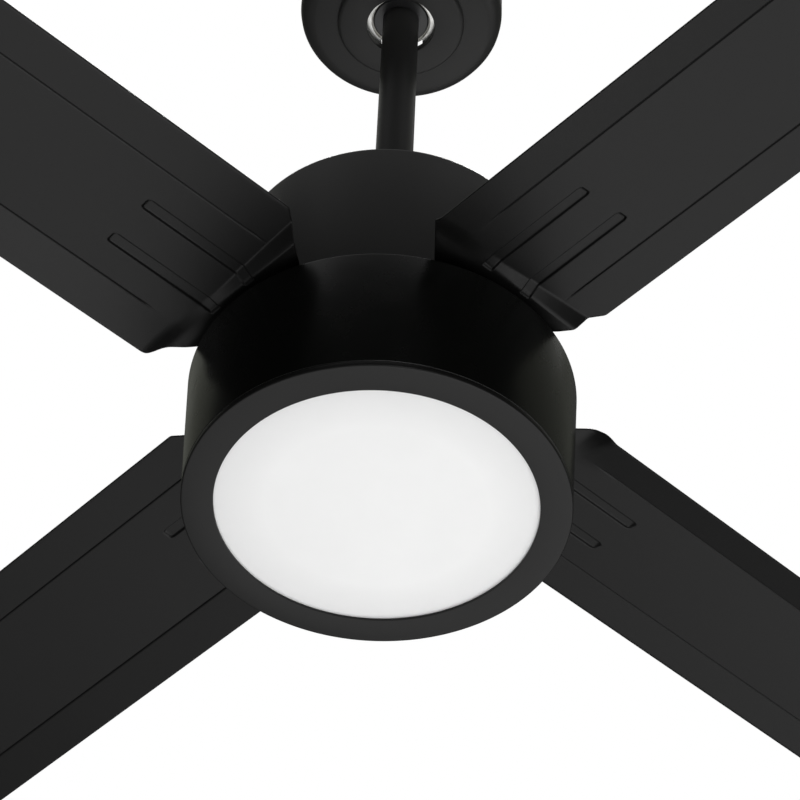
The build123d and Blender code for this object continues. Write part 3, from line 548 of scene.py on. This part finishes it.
def make_coupling_cover():
    """Bell over the coupling: a short flared skirt, a tapered wall and a rounded shoulder."""
    low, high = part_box("coupling_cover")
    thin, skirt_top = 1.2 * MM, low.z + 10 * MM
    waist, shoulder, hole = 42 * MM, 32 * MM, 14.25 * MM
    turned(
        "coupling_bell",
        [
            (high.x, low.z, 0.4 * MM),
            (waist, skirt_top, 6 * MM),
            (shoulder, high.z, 6 * MM),
            (hole, high.z, 0.5 * MM),
            (hole, high.z - thin, 0.4 * MM),
            (shoulder - thin, high.z - thin, 4.8 * MM),
            (waist - thin, skirt_top, 4.8 * MM),
            (high.x - thin, low.z, 0.4 * MM),
        ],
        "black_powder",
        "hanging_frame",
        "coupling_cover",
    )


# ------------------------------------------------------------------ blades

# A blade along +X: x is the distance from the rotor's axis, y the distance across, in metres.
# Its pitched plate has a bent-down margin on one side and a bent-up margin on the other.
BLADE_SHEET = 1.6 * MM
CREASES = (-50 * MM, 34.7 * MM)
PITCH_LINE = ((-77.5, 100.3), (-50.0, 108.8), (34.7, 118.4), (64.0, 121.2))
ROOT_HEIGHT = 112 * MM
ROOT_DIP = 1.5 * MM             # the root sags a little between the hub and the fold
FOLD = (123.5 * MM, 130.3 * MM)     # the riser; it is drawn out towards the lower margin
RIBS = (-24.4 * MM, 8.4 * MM)
RIB_HALF_WIDTH = 4.5 * MM
RIB_WALL = 1.3 * MM
RIB_DEPTH = 1.5 * MM
RIB_ENDS = (121 * MM, 209 * MM)
SCORE_DEPTH = 0.6 * MM          # the creases are scored lines, seen from below as grooves
SCORE_HALF_WIDTH = 0.75 * MM
SCORE_STARTS = (150 * MM, 134 * MM)
SCORE_FADE = 14 * MM
RIM_PROFILE = ((0.25, -0.85), (0.4, -0.55), (0.4, 0.55), (0.25, 0.85))   # mm out, share of half sheet

BLADE_OUTLINE = [
    (52, -28, 7),
    (79, -28, 6),
    (100, -49, 6),
    (131, -77.5, 9),
    (610, -77.5, 24),
    (610, 64, 24),
    (139, 64, 5),
    (109, 41, 6),
    (96, 28, 6),
    (52, 28, 7),
]


def ease(value, start, end):
    """0 before start, 1 after end, smooth between."""
    t = min(1.0, max(0.0, (value - start) / (end - start)))
    return t * t * (3 - 2 * t)


def soft_corner(offset, reach):
    """0 below 0 and offset above it, with the corner rounded over reach to each side."""
    if abs(offset) >= reach:
        return max(0.0, offset)
    return (offset + reach) ** 2 / (4 * reach)


def pitched_height(x, y):
    """Height of the pitched plate's middle over the ring face; its bends soften near the root."""
    (y0, z0), (y1, z1), (y2, z2), (y3, z3) = [(a * MM, b * MM) for a, b in PITCH_LINE]
    slopes = ((z1 - z0) / (y1 - y0), (z2 - z1) / (y2 - y1), (z3 - z2) / (y3 - y2))
    reach = (0.7 + 9 * (1 - ease(x, 128 * MM, 165 * MM))) * MM
    height = z1 + slopes[1] * (y - y1)
    height += (slopes[1] - slopes[0]) * soft_corner(y1 - y, reach)
    height += (slopes[2] - slopes[1]) * soft_corner(y - y2, reach)
    return height


def rib_share(x, y):
    """1 on the floor of a rib, 0 outside it: a round-ended channel with sloping walls."""
    share = 0.0
    for rib_y in RIBS:
        along = max(0.0, x - (RIB_ENDS[1] - RIB_HALF_WIDTH))
        distance = math.hypot(along, y - rib_y)
        share = max(share, 1 - ease(distance, RIB_HALF_WIDTH - RIB_WALL, RIB_HALF_WIDTH))
    return share * ease(x, RIB_ENDS[0], RIB_ENDS[0] + 2 * MM)


def score_share(x, y):
    """1 at the bottom of the scored line along each crease; the line fades out towards the root."""
    share = 0.0
    for crease, start in zip(CREASES, SCORE_STARTS):
        across = max(0.0, 1 - abs(y - crease) / SCORE_HALF_WIDTH)
        share = max(share, across * ease(x, start - SCORE_FADE / 2, start + SCORE_FADE))
    return share


def painted_groove_shade_share(x, y):
    """1 on the ribs' walls and in the scored lines, where shade is painted into the coat's colour."""
    rib = rib_share(x, y)
    return min(1.0, 4 * rib * (1 - rib) + 2 * score_share(x, y))


def blade_height(x, y):
    """Height of the sheet's middle: the flat root, the fold, then the pitched plate with its marks."""
    spread = 1 - ease(y, -72 * MM, -15 * MM)
    start, end = FOLD[0], FOLD[1] + 5 * MM * spread
    rise = soft_corner(x - start, (1.5 + 1.5 * spread) * MM)
    rise -= soft_corner(x - end, (0.9 + 2.6 * spread) * MM)
    root = ROOT_HEIGHT - ROOT_DIP * ease(x, 106 * MM, 116 * MM)
    base = root + (pitched_height(x, y) - root) * rise / (end - start)
    return FACE + base + RIB_DEPTH * rib_share(x, y) + SCORE_DEPTH * score_share(x, y)


def inset(outline, distance):
    """A closed outline moved inwards, for an outline whose inside is on its left."""
    moved = []
    for index, here in enumerate(outline):
        along = (outline[(index + 1) % len(outline)] - outline[index - 1]).normalized()
        moved.append(here + distance * Vector((-along.y, along.x)))
    return moved


def outline_span(outline, x):
    """The lowest and highest y of a closed outline at x."""
    found = []
    for index, here in enumerate(outline):
        low, high = sorted((here, outline[(index + 1) % len(outline)]), key=lambda point: point.x)
        if low.x <= x <= high.x:
            if high.x - low.x < 1e-9:
                found += [low.y, high.y]
            else:
                found.append(low.y + (high.y - low.y) * (x - low.x) / (high.x - low.x))
    return min(found), max(found)


def spaced(start, end, step):
    count = max(1, round((end - start) / step))
    return [(start + (end - start) * index / count) * MM for index in range(count)]


def blade_rows(outline):
    """Distances along the blade: fine at the fold, the rib ends and the tip's round corners."""
    rows = spaced(56, 112, 4) + spaced(112, 121, 1.25) + spaced(121, 138, 0.45)
    rows += spaced(138, 198, 4) + spaced(198, 209, 0.6) + spaced(209, 586, 12.5)
    rows = sorted([point.x for point in outline] + rows)
    kept = [rows[0]]
    for row in rows:
        if row - kept[-1] > 0.05 * MM:
            kept.append(row)
    return kept


def blade_columns():
    """Distances across the blade: fine at the creases and the ribs' walls."""
    fine = []
    for crease in CREASES:
        fine += [crease + offset * SCORE_HALF_WIDTH for offset in (-2, -1, -0.5, 0, 0.5, 1, 2)]
    for rib in RIBS:
        for side in (-1, 1):
            wall = rib + side * (RIB_HALF_WIDTH - RIB_WALL / 2)
            fine += [wall + offset * RIB_WALL for offset in (-1, -0.5, -0.25, 0, 0.25, 0.5, 1)]
    coarse = [c for c in spaced(-79, 66, 4.7) if all(abs(c - other) > 1.1 * MM for other in fine)]
    return sorted(coarse + fine + [-79 * MM, 66 * MM])


def flat_blade():
    """The blade's plan as points and faces; points that meet at the outline are shared."""
    outline = inset(rounded([(x * MM, y * MM, radius * MM) for x, y, radius in BLADE_OUTLINE]), 0.4 * MM)
    points, places, grid, faces = [], {}, [], []
    for x in blade_rows(outline):
        low, high = outline_span(outline, x)
        line = []
        for column in blade_columns():
            y = min(high, max(low, column))
            key = (round(x, 7), round(y, 7))
            if key not in places:
                places[key] = len(points)
                points.append(Vector((x, y)))
            line.append(places[key])
        grid.append(line)
    for near, far in zip(grid, grid[1:]):
        for index in range(len(near) - 1):
            loop = (near[index], far[index], far[index + 1], near[index + 1])
            face = [corner for place, corner in enumerate(loop) if corner != loop[place - 1]]
            if len(face) > 2:
                faces.append(face)
    return points, faces


def rim_of(points, faces):
    """The outline's edges in the faces' direction, and each rim point's outward direction."""
    edges = [edge for face in faces for edge in zip(face, face[1:] + face[:1])]
    inner = set(edges)
    rim = [(a, b) for a, b in edges if (b, a) not in inner]
    outward = {}
    for a, b in rim:
        along = (points[b] - points[a]).normalized()
        for corner in (a, b):
            outward[corner] = outward.get(corner, Vector((0, 0))) + Vector((along.y, -along.x))
    return rim, {corner: direction.normalized() for corner, direction in outward.items()}


def blade_mesh(angle):
    """The folded and stamped sheet: lower face, upper face and a rounded rim, turned to its angle."""
    points, faces = flat_blade()
    rim, outward = rim_of(points, faces)
    build = bmesh.new()
    # each point stores how much painted shade its groove gets
    painted_groove_shade = build.verts.layers.float.new("painted_groove_shade")
    turn = Matrix.Rotation(angle, 4, "Z")

    def vertex(corner, reach, share):
        x, y = points[corner] + reach * MM * outward.get(corner, Vector((0, 0)))
        height = blade_height(*points[corner]) + share * BLADE_SHEET / 2
        made = build.verts.new(turn @ Vector((x, y, height)))
        made[painted_groove_shade] = painted_groove_shade_share(*points[corner])
        return made

    lower = [vertex(corner, 0, -1) for corner in range(len(points))]
    upper = [vertex(corner, 0, 1) for corner in range(len(points))]
    for face in faces:
        build.faces.new([lower[corner] for corner in reversed(face)])
        build.faces.new([upper[corner] for corner in face])
    layers = [{corner: lower[corner] for corner in outward}]
    for reach, share in RIM_PROFILE:
        layers.append({corner: vertex(corner, reach, share) for corner in outward})
    layers.append({corner: upper[corner] for corner in outward})
    for below, above in zip(layers, layers[1:]):
        for a, b in rim:
            build.faces.new((below[a], below[b], above[b], above[a]))
    return mesh_from(build)


def make_blades():
    for number in range(BLADE_COUNT):
        angle = FIRST_BLADE_ANGLE + 2 * math.pi * number / BLADE_COUNT
        blade = add_object(f"blade_skin_{number + 1}", blade_mesh(angle), "blade_black")
        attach(blade, "rotor")
        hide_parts(f"blade_{number + 1}")


# ------------------------------------------------------------------ assembly

slot_of = {piece["node"]: piece["material_slot"] for piece in frame["record"]["subparts"]}
for cad_name, cad_object in nodes.items():
    cad_object.data.materials.clear()
    cad_object.data.materials.append(MATERIALS[slot_of[cad_name]])

make_light_drum()
make_motor_drum()
make_trim_ring()
make_diffuser()
make_downrod()
make_canopy()
make_coupling_cover()
make_blades()


# ------------------------------------------------------------------ studio

FLOOR_DEPTH = 6.2               # metres below the fan
FLOOR_HALF_SIZE = 40.0
OLIVE = (0.96, 1.0, 0.80)       # a faint tint of the room seen in the lower drum's satin side


def area_light(name, location, target, size, power, colour=(1.0, 1.0, 1.0)):
    data = bpy.data.lights.new(name, "AREA")
    data.shape = "RECTANGLE"
    data.size, data.size_y = size
    data.energy = power
    data.color = colour
    light = bpy.data.objects.new(name, data)
    light.location = location
    aim = Vector(target) - Vector(location)
    light.rotation_mode = "QUATERNION"
    light.rotation_quaternion = aim.to_track_quat("-Z", "Y")
    light.visible_camera = False
    bpy.context.scene.collection.objects.link(light)


def make_camera():
    """Looks up at the fan from below, 44 degrees under the horizon."""
    ring_centre = Vector((0, 0, FACE))
    data = bpy.data.cameras.new("camera")
    data.sensor_width = 36.0
    data.lens = 134.08
    camera = bpy.data.objects.new("camera", data)
    right = Vector((0.99900557, 0.03305043, 0.0299256))
    up = Vector((0.00348519, -0.72702841, 0.68659854))
    look = Vector((-0.04444913, 0.68581147, 0.72642061))
    place = ring_centre + Vector((0.09691057, -1.31647208, -1.29510399))
    axes = Matrix((right, up, -look)).transposed()
    camera.matrix_world = Matrix.Translation(place) @ axes.to_4x4()
    bpy.context.scene.collection.objects.link(camera)
    bpy.context.scene.camera = camera


def by_camera(tree, for_camera, for_others):
    """A number that is one value for camera rays and another for all other rays."""
    paths = tree.nodes.new("ShaderNodeLightPath")
    level = tree.nodes.new("ShaderNodeMapRange")
    level.inputs["To Min"].default_value = for_others
    level.inputs["To Max"].default_value = for_camera
    tree.links.new(paths.outputs["Is Camera Ray"], level.inputs["Value"])
    return level.outputs["Result"]


def make_world():
    """White behind the fan for the camera, and a dim even glow for everything else."""
    world = bpy.data.worlds.new("studio")
    world.use_nodes = True
    background = world.node_tree.nodes["Background"]
    background.inputs["Color"].default_value = (1, 1, 1, 1)
    strength = by_camera(world.node_tree, 1.0, 0.03)
    world.node_tree.links.new(strength, background.inputs["Strength"])
    bpy.context.scene.world = world
    bpy.context.scene.view_settings.view_transform = "Standard"


def make_floor():
    """A wide pale floor far below, with a soft glow of its own."""
    glow = bpy.data.materials.new("floor_pale")
    glow.use_nodes = True
    tree = glow.node_tree
    shader = tree.nodes["Principled BSDF"]
    shader.inputs["Base Color"].default_value = (0.30, 0.30, 0.30, 1)
    shader.inputs["Roughness"].default_value = 0.8
    shader.inputs["Emission Color"].default_value = (1, 1, 1, 1)
    tree.links.new(by_camera(tree, 0.72, 0.15), shader.inputs["Emission Strength"])
    build = bmesh.new()
    bmesh.ops.create_grid(build, x_segments=1, y_segments=1, size=FLOOR_HALF_SIZE)
    mesh = bpy.data.meshes.new("floor")
    build.to_mesh(mesh)
    build.free()
    mesh.materials.append(glow)
    floor = bpy.data.objects.new("floor", mesh)
    floor.location = (0, 0, FACE - FLOOR_DEPTH)
    bpy.context.scene.collection.objects.link(floor)


def make_lights():
    """One broad light below, a few weak ones round the sides, and two above for the upper faces."""
    middle = (0, 0, FACE + 80 * MM)
    area_light("below", (0.6, 0.5, FACE - 2.0), middle, (4.2, 4.6), 72)
    area_light("nadir", (0.6, -0.1, FACE - 1.9), middle, (1.2, 1.2), 6)
    area_light("front", (0.5, -2.4, FACE - 0.3), middle, (1.0, 0.8), 8)
    area_light("overhead", (0, 0, 2.6), middle, (4.0, 4.0), 24)
    area_light("top", (0, 1.4, 3.2), middle, (1.2, 1.2), 110)
    area_light("back_rim", (-0.3, 1.7, 1.0), middle, (2.2, 1.6), 0.5)
    area_light("back_left", (-1.9, 1.6, 2.0), middle, (2.6, 2.0), 2.0, OLIVE)
    area_light("back_right", (2.3, 1.1, 2.0), middle, (3.4, 2.0), 1.9, OLIVE)


make_camera()
make_world()
make_floor()
make_lights()
